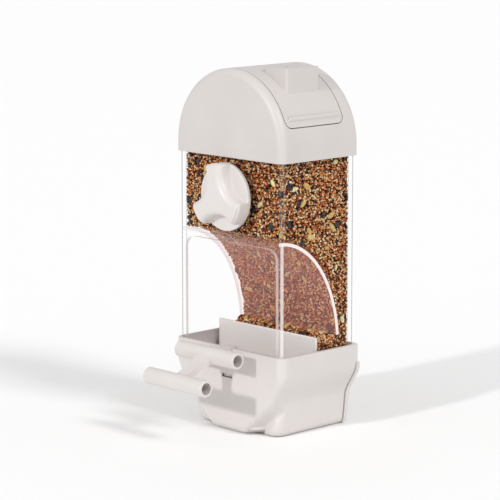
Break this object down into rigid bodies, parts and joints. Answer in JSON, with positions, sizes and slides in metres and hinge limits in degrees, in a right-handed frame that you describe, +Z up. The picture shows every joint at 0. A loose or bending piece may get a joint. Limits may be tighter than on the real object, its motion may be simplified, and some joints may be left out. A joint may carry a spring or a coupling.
{
  "type": "bird cage feeder",
  "caption": "Clear cage feeder with a vaulted filling lid, hinged cover, swept catch tray, twin perch and screw clamp, filled with seed.",
  "frame": {"origin": "plan centre of the clear hopper, on the underside of the tray that the feeder stands on", "axes": "+Z up, -Y to the front with the feeding opening and the perch, +X to the side that the refill cover opens on"},
  "size_m": [0.1004, 0.1191, 0.235],
  "materials": {
    "clear_plastic": "clear polished styrene",
    "white_plastic": "satin moulded",
    "seed_mix": "dry loose seed",
    "zinc_steel": "bright zinc",
    "brass": "turned"
  },
  "bodies": {
    "feeder": {"hopper_body": "clear_plastic", "lid_housing": "white_plastic", "tray": "white_plastic", "tray_back": "white_plastic", "seed_dam": "white_plastic", "seed_fill": "seed_mix", "perch": "white_plastic", "clamp_bolt": "zinc_steel", "bolt_nut": "zinc_steel"},
    "cover": {"refill_cover": "white_plastic"},
    "insert": {"knob_insert": "brass"},
    "knob": {"clamp_knob": "white_plastic"}
  },
  "joints": [
    {"name": "cover_hinge", "type": "hinge", "parent": "feeder", "child": "cover", "pos_m": [-0.01131, -0.0032, 0.22996], "axis": [0, -1, 0], "range_deg": [0, 110]},
    {"name": "clamp_travel", "type": "slide", "parent": "feeder", "child": "insert", "axis": [0, -1, 0], "range_m": [0, 0.005]},
    {"name": "clamp_spin", "type": "hinge", "parent": "insert", "child": "knob", "pos_m": [0, -0.0412, 0.153], "axis": [0, -1, 0], "range_deg": [0, 1800]}
  ],
  "couplings": [
    {"joint": "clamp_travel", "follows": "clamp_spin", "m_per_rad": 0.00015915}
  ]
}
